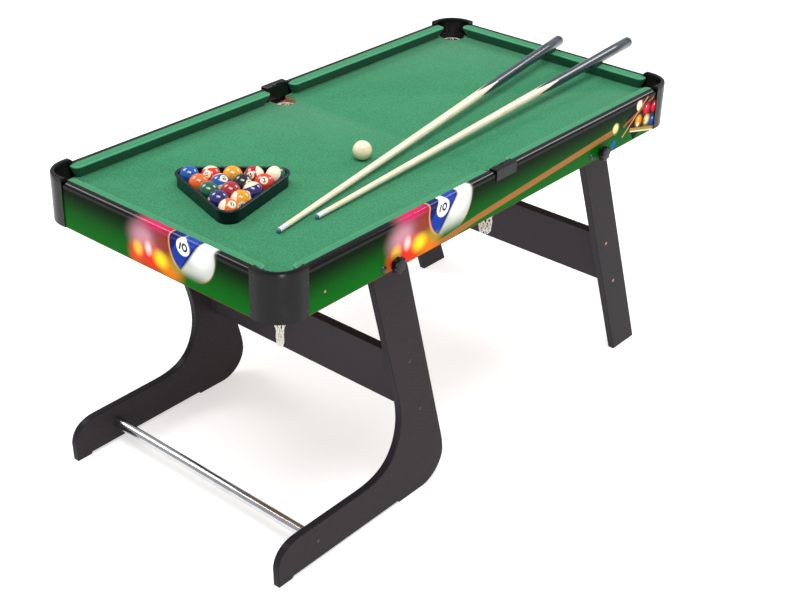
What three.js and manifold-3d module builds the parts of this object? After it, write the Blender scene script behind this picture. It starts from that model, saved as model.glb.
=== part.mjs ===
// Folding six-pocket mini pool table with two cues, a ball rack and sixteen balls.
// Millimetres, +Z up. X runs along the table and the curved leg frame is at the -X end.
// Everything is laid out about the table's own middle, on a floor at z = 0, and the
// group is then moved along X so that its origin is under the middle of the whole set.

import * as THREE from 'three';
import { mergeVertices } from 'three/addons/utils/BufferGeometryUtils.js';
import ManifoldModule from 'manifold-3d';

const manifoldLibrary = await ManifoldModule();
manifoldLibrary.setup();
const { Manifold, Mesh: ManifoldMesh } = manifoldLibrary;

// ---------------------------------------------------------------- driving sizes

const GAP = 0.3;

const TABLE_LENGTH = 1372;
const TABLE_WIDTH = 696;
const RAIL_TOP = 722;
const APRON_HEIGHT = 102;
const APRON_THICKNESS = 16;
const APRON_ROUND = 9;

const BED_TOP = 690;
const CLOTH_THICKNESS = 1.5;
const BED_THICKNESS = 11.7;

const CUSHION_NOSE_REACH = 38;
const CUSHION_END_ROUND = 13;

const CORNER_RADIUS = 62;
const CAP_WRAP = 76;
const CAP_SKIN = 2.2;
const CORNER_CLEAR = 67;
const LINER_THICKNESS = 2.5;
const MIDDLE_CAP_HALF = 35;

const LEG_THICKNESS = 18;
const LEG_GAP = 1;
const LEG_LEAN_J = 0.2825;
const LEG_LEAN_STRAIGHT = 0.382;
const BOLT_HEIGHT = 634;
const BOLT_RADIUS = 4;
const BOLT_HOLE_RADIUS = 4.5;
const J_PIVOT_X = -396;
const J_KNOB_X = -363;
const STRAIGHT_PIVOT_X = 339;
const STRAIGHT_KNOB_X = 376;

const PANEL_THICKNESS = 18;
const PANEL_TOP = 372;
const PANEL_BOTTOM = 216;
const FOOT_BAR_X = -567;
const FOOT_BAR_Z = 52;
const FOOT_BAR_RADIUS = 12.5;

const BALL_RADIUS = 21.75;
const BALL_SPACING = 45;
const RACK_CENTRE = [-449, 22];
const RACK_TURN = THREE.MathUtils.degToRad(43.2);
const RACK_HEIGHT = 30;
const CUE_BALL_PLACE = [-127, -53];

const CUE_LENGTH = 1222;
const CUE_TIP_RADIUS = 5.5;
const CUE_BUTT_RADIUS = 14;

// The cue butts reach past the +X end, so the set's middle is this far from the table's.
const SET_MIDDLE_X = 61;

const HALF_LENGTH = TABLE_LENGTH / 2;
const HALF_WIDTH = TABLE_WIDTH / 2;
const APRON_BOTTOM = RAIL_TOP - APRON_HEIGHT;
const APRON_INSIDE = APRON_THICKNESS + GAP;
const BED_UNDERSIDE = BED_TOP - CLOTH_THICKNESS - GAP - BED_THICKNESS;
const LEG_OUTER_Y = HALF_WIDTH - APRON_THICKNESS - LEG_GAP;
const LEG_INNER_Y = LEG_OUTER_Y - LEG_THICKNESS;

// ---------------------------------------------------------------- materials

function material(colour, roughness, metalness = 0) {
  return new THREE.MeshStandardMaterial({ color: colour, roughness, metalness });
}

const MATERIALS = {
  mdf: material(0xb08a5c, 0.85),
  cloth: material(0x3f9a6b, 0.95),
  cushionCloth: material(0x379264, 0.95),
  printedFilm: material(0x0d4d1e, 0.3),
  blackPlastic: material(0x17181b, 0.42),
  laminate: material(0x39363b, 0.5),
  chrome: material(0xc9cacc, 0.18, 1),
  zinc: material(0x3a3c40, 0.35, 0.9),
  net: material(0xeae7de, 0.9),
  cue: material(0xe2cfa0, 0.35),
  cueBall: material(0xf1e7c8, 0.12),
};

const BALL_COLOURS = {
  yellow: 0xf0a818, blue: 0x1760a8, red: 0xd23a26, purple: 0x2b2a66, orange: 0xef7a2a,
  green: 0x15684a, maroon: 0x8f1e2b, black: 0x18181a,
};

// ---------------------------------------------------------------- solid helpers

function toManifold(geometry) {
  const bare = new THREE.BufferGeometry();
  bare.setAttribute('position', geometry.getAttribute('position').clone());
  if (geometry.index) bare.setIndex(geometry.index.clone());
  const welded = mergeVertices(bare, 1e-4);
  return new Manifold(new ManifoldMesh({
    numProp: 3,
    vertProperties: new Float32Array(welded.getAttribute('position').array),
    triVerts: new Uint32Array(welded.index.array),
  }));
}

function fromManifold(solid) {
  const mesh = solid.getMesh();
  const geometry = new THREE.BufferGeometry();
  geometry.setAttribute('position', new THREE.BufferAttribute(new Float32Array(mesh.vertProperties), 3));
  geometry.setIndex(new THREE.BufferAttribute(new Uint32Array(mesh.triVerts), 1));
  geometry.computeVertexNormals();
  return geometry;
}

function join(...geometries) {
  return fromManifold(geometries.map(toManifold).reduce((sum, next) => sum.add(next)));
}

function cut(geometry, ...tools) {
  return fromManifold(tools.map(toManifold).reduce((rest, tool) => rest.subtract(tool), toManifold(geometry)));
}

function common(geometry, other) {
  return fromManifold(toManifold(geometry).intersect(toManifold(other)));
}

function mirrored(geometry, axis) {
  const copy = geometry.index ? geometry.toNonIndexed() : geometry.clone();
  copy.scale(axis === 'x' ? -1 : 1, axis === 'y' ? -1 : 1, 1);
  const flipped = mergeVertices(new THREE.BufferGeometry()
    .setAttribute('position', copy.getAttribute('position')), 1e-4);
  const order = flipped.index.array;
  for (let i = 0; i < order.length; i += 3) {
    [order[i + 1], order[i + 2]] = [order[i + 2], order[i + 1]];
  }
  flipped.computeVertexNormals();
  return flipped;
}

function polygon(points) {
  return new THREE.Shape(points.map(([x, y]) => new THREE.Vector2(x, y)));
}

function extrude(shape, depth, { bevel = 0, bevelSegments = 1, curveSegments = 8 } = {}) {
  return new THREE.ExtrudeGeometry(shape, {
    depth: depth - 2 * bevel,
    bevelEnabled: bevel > 0,
    bevelThickness: bevel,
    bevelSize: bevel,
    bevelOffset: -bevel,
    bevelSegments,
    curveSegments,
  }).translate(0, 0, bevel);
}

// A plan outline raised between two heights.
function upright(shape, bottom, top, options) {
  return extrude(shape, top - bottom, options).translate(0, 0, bottom);
}

// An outline drawn in (y, z), run along X between two places.
function runAlongX(shape, start, end, options) {
  const toWorld = new THREE.Matrix4().makeBasis(
    new THREE.Vector3(0, 1, 0), new THREE.Vector3(0, 0, 1), new THREE.Vector3(1, 0, 0));
  return extrude(shape, end - start, options).applyMatrix4(toWorld).translate(start, 0, 0);
}

// An outline drawn in (x, z), run along Y between two places.
function runAlongY(shape, start, end, options) {
  return extrude(shape, end - start, options).rotateX(Math.PI / 2).translate(0, end, 0);
}

function box(low, high) {
  const size = high.map((value, i) => value - low[i]);
  const middle = high.map((value, i) => (value + low[i]) / 2);
  return new THREE.BoxGeometry(...size).translate(...middle);
}

// A turned solid whose axis runs along Y. Profile points are [radius, y].
function turnedAlongY(profile, segments) {
  const points = profile.map(([radius, y]) => new THREE.Vector2(radius, y));
  return new THREE.LatheGeometry(points, segments);
}

function holeAlongY(x, z, radius) {
  return new THREE.CylinderGeometry(radius, radius, TABLE_WIDTH, 24).translate(x, 0, z);
}

// ---------------------------------------------------------------- assembly

const table = new THREE.Group();

function add(name, geometry, look) {
  const mesh = new THREE.Mesh(geometry, look);
  mesh.name = name;
  table.add(mesh);
}

function addNearAndFar(name, nearGeometry, look) {
  add(`${name}_near`, nearGeometry, look);
  add(`${name}_far`, mirrored(nearGeometry, 'y'), look);
}

function addFourCorners(name, nearLeftGeometry, look) {
  const nearRight = mirrored(nearLeftGeometry, 'x');
  addNearAndFar(`${name}_left`, nearLeftGeometry, look);
  addNearAndFar(`${name}_right`, nearRight, look);
}

// ---------------------------------------------------------------- pocket places

// Corner pockets are laid out in (a, b): distances inward from the apron board's
// two outer faces, measured from the sharp corner that the rounded cap replaces.
const POCKET_FLOOR = { centre: 42.5, radius: 33 };
const POCKET_MOUTH = { centre: 56, radius: 46 };
const MIDDLE_POCKET = { centre: 41, radius: 27 };
const MIDDLE_MOUTH = { centre: 45, radius: 32.5 };

// ---------------------------------------------------------------- aprons

function apronProfile(outerFace) {
  const inner = outerFace + APRON_THICKNESS;
  const shape = new THREE.Shape();
  shape.moveTo(outerFace, APRON_BOTTOM);
  shape.lineTo(inner, APRON_BOTTOM);
  shape.lineTo(inner, RAIL_TOP);
  shape.lineTo(outerFace + APRON_ROUND, RAIL_TOP);
  shape.absarc(outerFace + APRON_ROUND, RAIL_TOP - APRON_ROUND, APRON_ROUND,
    Math.PI / 2, Math.PI, false);
  return shape;
}

function nearApron() {
  const end = HALF_LENGTH - CORNER_CLEAR;
  const board = runAlongX(apronProfile(-HALF_WIDTH), -end, end, { curveSegments: 5 });
  const holes = [J_PIVOT_X, J_KNOB_X, STRAIGHT_PIVOT_X, STRAIGHT_KNOB_X]
    .map((x) => holeAlongY(x, BOLT_HEIGHT, BOLT_HOLE_RADIUS).translate(0, -HALF_WIDTH, 0));
  return cut(board, ...holes);
}

function leftApron() {
  const end = HALF_WIDTH - CORNER_CLEAR;
  return runAlongY(apronProfile(-HALF_LENGTH), -end, end, { curveSegments: 5 });
}

addNearAndFar('apron', nearApron(), MATERIALS.printedFilm);
add('apron_left', leftApron(), MATERIALS.printedFilm);
add('apron_right', mirrored(leftApron(), 'x'), MATERIALS.printedFilm);

// ---------------------------------------------------------------- bed

function bedOutline() {
  const halfY = HALF_WIDTH - APRON_INSIDE;
  const { centre, radius } = POCKET_FLOOR;
  const reach = centre - APRON_INSIDE;
  const edgeAngle = Math.acos(reach / radius);
  const corners = [[-1, -1], [1, -1], [1, 1], [-1, 1]];
  const shape = new THREE.Shape();
  corners.forEach(([sx, sy], i) => {
    const x = sx * (HALF_LENGTH - centre);
    const y = sy * (HALF_WIDTH - centre);
    const first = Math.PI / 2 * (i + 2) - edgeAngle;
    const last = Math.PI / 2 * (i - 1) + edgeAngle;
    const startX = x + radius * Math.cos(first);
    const startY = y + radius * Math.sin(first);
    if (i === 0) shape.moveTo(startX, startY);
    else shape.lineTo(startX, startY);
    shape.absarc(x, y, radius, first, last, true);
    if (sx * sy > 0) addMiddleNotch(shape, sy, halfY);
  });
  shape.closePath();
  return shape;
}

function addMiddleNotch(shape, side, halfY) {
  const { centre, radius } = MIDDLE_POCKET;
  const y = side * (HALF_WIDTH - centre);
  shape.lineTo(side * radius, side * halfY);
  shape.lineTo(side * radius, y);
  const start = side > 0 ? 0 : Math.PI;
  shape.absarc(0, y, radius, start, start - Math.PI, true);
  shape.lineTo(-side * radius, side * halfY);
}

function bedSlab(bottom, top) {
  return upright(bedOutline(), bottom, top, { curveSegments: 10 });
}

add('bed_board', bedSlab(BED_UNDERSIDE, BED_UNDERSIDE + BED_THICKNESS), MATERIALS.mdf);
add('bed_cloth', bedSlab(BED_TOP - CLOTH_THICKNESS, BED_TOP), MATERIALS.cloth);

function bedBatten(x) {
  const half = HALF_WIDTH - APRON_INSIDE;
  return box([x - 9, -half, BED_UNDERSIDE - GAP - 40], [x + 9, half, BED_UNDERSIDE - GAP]);
}

add('bed_batten_left', bedBatten(-200), MATERIALS.mdf);
add('bed_batten_right', bedBatten(200), MATERIALS.mdf);

// ---------------------------------------------------------------- cushions

function cushionProfile(outerFace) {
  const back = outerFace + APRON_INSIDE;
  const nose = outerFace + CUSHION_NOSE_REACH;
  return polygon([
    [back, BED_TOP + GAP],
    [nose - 12, BED_TOP + GAP],
    [nose - 0.5, RAIL_TOP - 9],
    [nose, RAIL_TOP - 6.5],
    [nose - 1, RAIL_TOP - 4.6],
    [back, RAIL_TOP - 0.3],
  ]);
}

function roundedEndsPlan(start, end, back, nose) {
  const r = CUSHION_END_ROUND;
  const shape = new THREE.Shape();
  shape.moveTo(start, back);
  shape.lineTo(end, back);
  shape.lineTo(end, nose - r);
  shape.absarc(end - r, nose - r, r, 0, Math.PI / 2, false);
  shape.lineTo(start + r, nose);
  shape.absarc(start + r, nose - r, r, Math.PI / 2, Math.PI, false);
  shape.closePath();
  return upright(shape, BED_TOP - 5, RAIL_TOP + 5, { curveSegments: 5 });
}

function nearLeftCushion() {
  const start = -HALF_LENGTH + CORNER_CLEAR;
  const end = -MIDDLE_CAP_HALF - 3;
  const body = runAlongX(cushionProfile(-HALF_WIDTH), start, end);
  return common(body, roundedEndsPlan(start, end, -HALF_WIDTH, -HALF_WIDTH + CUSHION_NOSE_REACH + 1));
}

function leftCushion() {
  const end = HALF_WIDTH - CORNER_CLEAR;
  const body = runAlongY(cushionProfile(-HALF_LENGTH), -end, end);
  const plan = roundedEndsPlan(-end, end, -HALF_LENGTH, -HALF_LENGTH + CUSHION_NOSE_REACH + 1);
  const turn = new THREE.Matrix4().makeBasis(
    new THREE.Vector3(0, -1, 0), new THREE.Vector3(1, 0, 0), new THREE.Vector3(0, 0, 1));
  return common(body, plan.applyMatrix4(turn));
}

addNearAndFar('cushion_left', nearLeftCushion(), MATERIALS.cushionCloth);
addNearAndFar('cushion_right', mirrored(nearLeftCushion(), 'x'), MATERIALS.cushionCloth);
add('cushion_end_left', leftCushion(), MATERIALS.cushionCloth);
add('cushion_end_right', mirrored(leftCushion(), 'x'), MATERIALS.cushionCloth);

// ---------------------------------------------------------------- corner caps

const CAP_OUTER = -CAP_SKIN - GAP;

function capSkinPlan() {
  const c = CORNER_RADIUS;
  const shape = new THREE.Shape();
  shape.moveTo(CAP_WRAP, CAP_OUTER);
  shape.lineTo(CAP_WRAP, -GAP);
  shape.lineTo(c, -GAP);
  shape.absarc(c, c, c + GAP, -Math.PI / 2, -Math.PI, true);
  shape.lineTo(-GAP, CAP_WRAP);
  shape.lineTo(CAP_OUTER, CAP_WRAP);
  shape.lineTo(CAP_OUTER, c);
  shape.absarc(c, c, c - CAP_OUTER, Math.PI, Math.PI * 1.5, false);
  shape.closePath();
  return shape;
}

function capLipPlan() {
  const c = CORNER_RADIUS;
  const { centre, radius } = POCKET_MOUTH;
  const tipAngle = Math.acos((CAP_WRAP - centre) / radius);
  const shape = new THREE.Shape();
  shape.moveTo(CAP_WRAP, CAP_OUTER);
  shape.lineTo(CAP_WRAP, centre - radius * Math.sin(tipAngle));
  shape.absarc(centre, centre, radius, -tipAngle, tipAngle - Math.PI * 1.5, true);
  shape.lineTo(CAP_OUTER, CAP_WRAP);
  shape.lineTo(CAP_OUTER, c);
  shape.absarc(c, c, c - CAP_OUTER, Math.PI, Math.PI * 1.5, false);
  shape.closePath();
  return shape;
}

// A leaning cone: its lower circle is the bed's pocket and its upper circle the mouth.
function pocketCone(thickness) {
  const bottom = BED_TOP + GAP;
  const height = RAIL_TOP - bottom;
  const lean = (POCKET_MOUTH.centre - POCKET_FLOOR.centre) / height;
  return new THREE.CylinderGeometry(
    POCKET_MOUTH.radius + thickness, POCKET_FLOOR.radius + thickness, height, 28)
    .rotateX(Math.PI / 2)
    .translate(0, 0, height / 2)
    .applyMatrix4(new THREE.Matrix4().makeShear(0, 0, 0, 0, lean, lean))
    .translate(POCKET_FLOOR.centre, POCKET_FLOOR.centre, bottom);
}

function cornerCap() {
  const lipTop = RAIL_TOP + 7;
  const skin = upright(capSkinPlan(), APRON_BOTTOM, RAIL_TOP - 1, { curveSegments: 8 });
  const lip = upright(capLipPlan(), RAIL_TOP - 8, lipTop, { bevel: 3.2, bevelSegments: 2, curveSegments: 8 });
  const edge = CORNER_CLEAR - 1;
  const back = polygon([[-4, -4], [edge, -4], [edge, 18], [18, edge], [-4, edge]]);
  const linerSpace = upright(back, BED_TOP, RAIL_TOP - 1);
  const liner = common(cut(pocketCone(LINER_THICKNESS), pocketCone(0)), linerSpace);
  const overBoard = CORNER_CLEAR - GAP;
  const boards = [
    box([overBoard, -GAP, APRON_BOTTOM - 1], [CAP_WRAP + 1, CAP_WRAP, RAIL_TOP + GAP]),
    box([-GAP, overBoard, APRON_BOTTOM - 1], [CAP_WRAP, CAP_WRAP + 1, RAIL_TOP + GAP]),
  ];
  return cut(join(skin, lip, liner), ...boards).translate(-HALF_LENGTH, -HALF_WIDTH, 0);
}

addFourCorners('corner_cap', cornerCap(), MATERIALS.blackPlastic);

// ---------------------------------------------------------------- middle pocket caps

function middleCap() {
  const half = MIDDLE_CAP_HALF;
  const { centre, radius } = MIDDLE_MOUTH;
  const tip = APRON_INSIDE + 1;
  const tipX = Math.sqrt(radius ** 2 - (centre - tip) ** 2);
  const tipAngle = Math.atan2(centre - tip, tipX);
  const plan = new THREE.Shape();
  plan.moveTo(-half, CAP_OUTER);
  plan.lineTo(half, CAP_OUTER);
  plan.lineTo(half, tip);
  plan.lineTo(tipX, tip);
  plan.absarc(0, centre, radius, -tipAngle, tipAngle - Math.PI, true);
  plan.lineTo(-half, tip);
  plan.closePath();
  const plate = upright(plan, RAIL_TOP + GAP, RAIL_TOP + 4, { bevel: 1.2, curveSegments: 10 });
  const flange = box([-half, CAP_OUTER, RAIL_TOP - 22], [half, -GAP, RAIL_TOP + 2.5]);
  const skirt = box([-half, APRON_INSIDE, BED_TOP + GAP], [half, APRON_INSIDE + 2, RAIL_TOP + 2]);
  return join(plate, flange, skirt).translate(0, -HALF_WIDTH, 0);
}

addNearAndFar('middle_cap', middleCap(), MATERIALS.blackPlastic);

// ---------------------------------------------------------------- pocket nets

// Outer outlines below the mouth, as [radius, height] from the bottom up. One net is let
// right down, and one is drawn up so that it stays behind the apron.
const LONG_NET = [[8, 548], [10, 556], [10.5, 585], [15, 602], [22, 626]];
const SHORT_NET = [[8, 594], [11, 600], [18, 611], [22, 628]];

function pocketNet(mouthRadius, outline) {
  const top = BED_UNDERSIDE - GAP;
  const wall = 1.6;
  const outer = [...outline, [mouthRadius - 3, 652], [mouthRadius, top]];
  const inner = outer.slice(1).reverse().map(([radius, z]) => [radius - wall, z]);
  const profile = [[0, outline[0][1]], ...outer, ...inner, [0, outline[1][1]]];
  return turnedAlongY(profile, 12).rotateX(Math.PI / 2);
}

const CORNER_NET_IN = 47;
const MIDDLE_NET_IN = 46;

function nearLeftNet(outline) {
  return pocketNet(31, outline).translate(-HALF_LENGTH + CORNER_NET_IN, -HALF_WIDTH + CORNER_NET_IN, 0);
}

add('net_corner_left_near', nearLeftNet(LONG_NET), MATERIALS.net);
add('net_corner_left_far', mirrored(nearLeftNet(SHORT_NET), 'y'), MATERIALS.net);
addNearAndFar('net_corner_right', mirrored(nearLeftNet(SHORT_NET), 'x'), MATERIALS.net);
addNearAndFar('net_middle', pocketNet(29, LONG_NET).translate(0, -HALF_WIDTH + MIDDLE_NET_IN, 0), MATERIALS.net);

// ---------------------------------------------------------------- legs

const jFront = (z) => -408 + LEG_LEAN_J * (604 - z);
const jBack = (z) => -292 + LEG_LEAN_J * (574 - z);
const straightFront = (z) => 571 - LEG_LEAN_STRAIGHT * z;
const straightBack = (z) => 665 - LEG_LEAN_STRAIGHT * z;

function jLegOutline() {
  const shape = new THREE.Shape();
  shape.moveTo(-683, 0);
  shape.lineTo(-645, 0);
  shape.lineTo(-641, 5);
  shape.lineTo(-308, 5);
  shape.lineTo(-303, 0);
  shape.lineTo(-222, 0);
  shape.bezierCurveTo(-188, 3, -157, 28, -154, 64);
  shape.quadraticCurveTo(-154, 86, jBack(112), 112);
  shape.lineTo(jBack(648), 648);
  shape.quadraticCurveTo(jBack(666), 667, -338, 667);
  shape.lineTo(-396, 666);
  shape.quadraticCurveTo(-418, 664, jFront(640), 640);
  shape.lineTo(jFront(305), 305);
  shape.bezierCurveTo(-305, 250, -298, 196, -321, 150);
  shape.bezierCurveTo(-340, 113, -374, 98, -430, 97);
  shape.lineTo(-622, 96);
  shape.bezierCurveTo(-655, 95, -681, 80, -685, 46);
  shape.closePath();
  return shape;
}

function straightLegOutline() {
  const earRadius = 18;
  const shape = new THREE.Shape();
  shape.moveTo(straightFront(0), 0);
  shape.lineTo(straightBack(0), 0);
  shape.lineTo(straightBack(655), 655);
  shape.quadraticCurveTo(straightBack(667), 667, straightBack(667) - 18, 667);
  shape.lineTo(STRAIGHT_PIVOT_X + 12, 667);
  shape.quadraticCurveTo(STRAIGHT_PIVOT_X - 8, 666, STRAIGHT_PIVOT_X - 14, BOLT_HEIGHT + 12);
  shape.quadraticCurveTo(STRAIGHT_PIVOT_X - earRadius - 2, BOLT_HEIGHT - 6, straightFront(606), 606);
  shape.closePath();
  return shape;
}

function nearLeg(outline, pivotX) {
  const board = runAlongY(outline, -LEG_OUTER_Y, -LEG_INNER_Y, { bevel: 1.5, curveSegments: 10 });
  return cut(board, holeAlongY(pivotX, BOLT_HEIGHT, BOLT_HOLE_RADIUS));
}

function crossPanel(centreLine) {
  const top = [centreLine(PANEL_TOP), PANEL_TOP];
  const bottom = [centreLine(PANEL_BOTTOM), PANEL_BOTTOM];
  const length = Math.hypot(bottom[0] - top[0], bottom[1] - top[1]);
  const normal = [(top[1] - bottom[1]) / length, (bottom[0] - top[0]) / length];
  const [nx, nz] = normal.map((value) => value * PANEL_THICKNESS / 2);
  const outline = polygon([
    [bottom[0] - nx, bottom[1] - nz],
    [bottom[0] + nx, bottom[1] + nz],
    [top[0] + nx, top[1] + nz],
    [top[0] - nx, top[1] - nz],
  ]);
  const reach = LEG_INNER_Y - GAP;
  return runAlongY(outline, -reach, reach, { bevel: 0.8 });
}

function footBar() {
  const half = LEG_INNER_Y - GAP;
  const bore = FOOT_BAR_RADIUS - 1.5;
  const profile = [[FOOT_BAR_RADIUS, -half], [FOOT_BAR_RADIUS, half], [bore, half], [bore, -half],
    [FOOT_BAR_RADIUS, -half]];
  return turnedAlongY(profile, 28).translate(FOOT_BAR_X, 0, FOOT_BAR_Z);
}

addNearAndFar('j_leg', nearLeg(jLegOutline(), J_PIVOT_X), MATERIALS.laminate);
addNearAndFar('straight_leg', nearLeg(straightLegOutline(), STRAIGHT_PIVOT_X), MATERIALS.laminate);
add('j_cross_panel', crossPanel((z) => (jFront(z) + jBack(z)) / 2), MATERIALS.laminate);
add('straight_cross_panel', crossPanel((z) => (straightFront(z) + straightBack(z)) / 2), MATERIALS.laminate);
add('foot_bar', footBar(), MATERIALS.chrome);

// ---------------------------------------------------------------- pivots and knobs

function pivotBolt(x) {
  const face = -HALF_WIDTH - GAP;
  const legInside = -LEG_INNER_Y + GAP;
  const profile = [
    [0, face - 4], [4, face - 3.8], [6.6, face - 2.2], [7.5, face], [BOLT_RADIUS, face],
    [BOLT_RADIUS, legInside], [7.5, legInside], [7.5, legInside + 4.5], [0, legInside + 4.5],
  ];
  return turnedAlongY(profile, 16).translate(x, 0, BOLT_HEIGHT);
}

function starKnob(x) {
  const lobes = 8;
  const steps = lobes * 6;
  const outline = Array.from({ length: steps }, (_, i) => {
    const angle = 2 * Math.PI * i / steps;
    const radius = 17 + 1.5 * Math.cos(lobes * angle);
    return [radius * Math.cos(angle), radius * Math.sin(angle)];
  });
  const face = -HALF_WIDTH - GAP;
  const grip = runAlongY(polygon(outline), face - 18, face - 5, { bevel: 2 });
  const studEnd = -LEG_OUTER_Y - GAP;
  const stem = turnedAlongY([
    [0, face - 17], [9.5, face - 17], [9.5, face], [BOLT_RADIUS, face],
    [BOLT_RADIUS, studEnd], [0, studEnd],
  ], 16);
  return join(grip, stem).translate(x, 0, BOLT_HEIGHT);
}

addNearAndFar('pivot_bolt_j', pivotBolt(J_PIVOT_X), MATERIALS.zinc);
addNearAndFar('pivot_bolt_straight', pivotBolt(STRAIGHT_PIVOT_X), MATERIALS.zinc);
addNearAndFar('knob_j', starKnob(J_KNOB_X), MATERIALS.blackPlastic);
addNearAndFar('knob_straight', starKnob(STRAIGHT_KNOB_X), MATERIALS.blackPlastic);

// ---------------------------------------------------------------- rack and balls

// A triangle with its corners rounded about the three corner balls.
function trianglePath(path, offset) {
  const cornerDistance = 4 * BALL_SPACING / Math.sqrt(3);
  for (let i = 0; i < 3; i += 1) {
    const direction = Math.PI + i * 2 * Math.PI / 3;
    const x = cornerDistance * Math.cos(direction);
    const y = cornerDistance * Math.sin(direction);
    const start = direction - Math.PI / 3;
    if (i === 0) path.moveTo(x + offset * Math.cos(start), y + offset * Math.sin(start));
    path.absarc(x, y, offset, start, direction + Math.PI / 3, false);
  }
  path.closePath();
  return path;
}

function rackRing(outerOffset, innerOffset, bottom, top, bevel) {
  const shape = trianglePath(new THREE.Shape(), outerOffset);
  shape.holes.push(trianglePath(new THREE.Path(), innerOffset));
  return upright(shape, bottom, top, { bevel, curveSegments: 5 });
}

function rack() {
  const bottom = BED_TOP + GAP;
  const top = bottom + RACK_HEIGHT;
  const inside = BALL_RADIUS + 1.2;
  const wall = rackRing(inside + 3.8, inside, bottom, top - 0.5, 0);
  const lip = rackRing(inside + 7.4, inside, top - 4, top, 1);
  return join(wall, lip).rotateZ(RACK_TURN).translate(...RACK_CENTRE, 0);
}

add('rack', rack(), MATERIALS.blackPlastic);

const RACK_ROWS = [
  [[13, 'orange']],
  [[4, 'purple'], [9, 'yellow']],
  [[6, 'green'], [7, 'maroon'], [12, 'purple']],
  [[5, 'orange'], [10, 'blue'], [8, 'black'], [3, 'red']],
  [[2, 'blue'], [11, 'red'], [1, 'yellow'], [15, 'maroon'], [14, 'green']],
];

function ball(x, y) {
  return new THREE.IcosahedronGeometry(BALL_RADIUS, 3).translate(x, y, BED_TOP + GAP + BALL_RADIUS);
}

function ballPlace(row, index) {
  const away = (row - 8 / 3) * BALL_SPACING * Math.sqrt(3) / 2;
  const across = (row / 2 - index) * BALL_SPACING;
  const cos = Math.cos(RACK_TURN);
  const sin = Math.sin(RACK_TURN);
  return [RACK_CENTRE[0] + away * cos - across * sin, RACK_CENTRE[1] + away * sin + across * cos];
}

RACK_ROWS.forEach((row, rowIndex) => {
  row.forEach(([number, colour], index) => {
    const name = `ball_${String(number).padStart(2, '0')}`;
    add(name, ball(...ballPlace(rowIndex, index)), material(BALL_COLOURS[colour], 0.12));
  });
});
add('cue_ball', ball(...CUE_BALL_PLACE), MATERIALS.cueBall);

// ---------------------------------------------------------------- cues

// A cue lies with its tip on the cloth and its butt across the +X end rail.
function cue(tipX, tipY, heading) {
  const profile = [
    [0, 0], [CUE_TIP_RADIUS - 1, 0], [CUE_TIP_RADIUS, 1.5], [CUE_BUTT_RADIUS, CUE_LENGTH - 4],
    [CUE_BUTT_RADIUS - 2.5, CUE_LENGTH], [0, CUE_LENGTH],
  ];
  const railEdgeX = HALF_LENGTH - APRON_THICKNESS;
  const run = (railEdgeX - tipX) / Math.cos(heading);
  const underside = Math.atan2(RAIL_TOP - BED_TOP, run);
  const taper = Math.atan2(CUE_BUTT_RADIUS - CUE_TIP_RADIUS, CUE_LENGTH);
  const tilt = underside + taper;
  return turnedAlongY(profile, 16)
    .rotateZ(-Math.PI / 2)
    .rotateY(-tilt)
    .rotateZ(heading)
    .translate(tipX, tipY, BED_TOP + 2 * GAP + CUE_TIP_RADIUS);
}

add('cue_1', cue(-506.6, -167, THREE.MathUtils.degToRad(7.95)), MATERIALS.cue);
add('cue_2', cue(-411, -180, THREE.MathUtils.degToRad(1.9)), MATERIALS.cue);

// ---------------------------------------------------------------- origin

table.position.x = -SET_MIDDLE_X;

export default table;
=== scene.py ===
"""Looks for the folding mini pool table: cloth, printed film, balls, cues, nets, screws and stage."""

import math
import random

import bmesh
import bpy
from mathutils import Euler, Matrix, Vector


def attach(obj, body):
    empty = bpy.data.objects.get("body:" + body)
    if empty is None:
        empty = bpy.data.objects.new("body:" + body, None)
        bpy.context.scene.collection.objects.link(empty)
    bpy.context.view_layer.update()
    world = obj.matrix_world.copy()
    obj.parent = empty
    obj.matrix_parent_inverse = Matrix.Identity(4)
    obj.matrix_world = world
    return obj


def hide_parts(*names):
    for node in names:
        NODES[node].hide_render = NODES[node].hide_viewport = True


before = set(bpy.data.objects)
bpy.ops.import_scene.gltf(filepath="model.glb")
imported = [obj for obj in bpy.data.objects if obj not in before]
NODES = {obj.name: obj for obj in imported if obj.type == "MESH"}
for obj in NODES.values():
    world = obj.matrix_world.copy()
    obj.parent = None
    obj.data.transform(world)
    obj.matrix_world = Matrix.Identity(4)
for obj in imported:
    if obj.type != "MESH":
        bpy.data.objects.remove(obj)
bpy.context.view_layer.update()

# ------------------------------------------------------------------ sizes, in millimetres

MM = 0.001
TABLE_MIDDLE_X = -61          # the table's own middle, in the frame of the whole set
HALF_LENGTH, HALF_WIDTH = 686, 348
RAIL_TOP, APRON_BOTTOM = 722, 620
APRON_THICKNESS = 16
APRON_INSIDE = APRON_THICKNESS + 0.3
BED_TOP = 690
CORNER_CLEAR = 67             # from the table's outside to the nearest end of a cushion
MIDDLE_CLEAR = 38             # from the table's middle to the nearest end of a cushion
CUSHION_NOSE = 38             # from the table's outside to a cushion's nose
LEG_OUTER_Y = 331
BALL_GAP, CUE_GAP = 0.3, 0.6  # how far a ball and a cue's tip stay clear of the bed
BALL_RADIUS = 21.75
BALL_SPACING = 45
BALL_HEIGHT = BED_TOP + BALL_GAP + BALL_RADIUS
RACK_CENTRE, RACK_TURN = (-449, 22), math.radians(43.2)
CUE_BALL_PLACE = (-127, -53)
CUE_LENGTH, CUE_TIP_RADIUS, CUE_BUTT_RADIUS = 1222, 5.5, 14

LEFT_RIGHT = (("left", -1), ("right", 1))      # the ends of the table, with the sign of their X
NEAR_FAR = (("near", -1), ("far", 1))          # its sides, with the sign of their Y


def at(x, y, z):
    """A point given in millimetres from the floor under the table's middle, in metres in the row frame."""
    return Vector(((x + TABLE_MIDDLE_X) * MM, y * MM, z * MM))


# ------------------------------------------------------------------ camera

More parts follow.
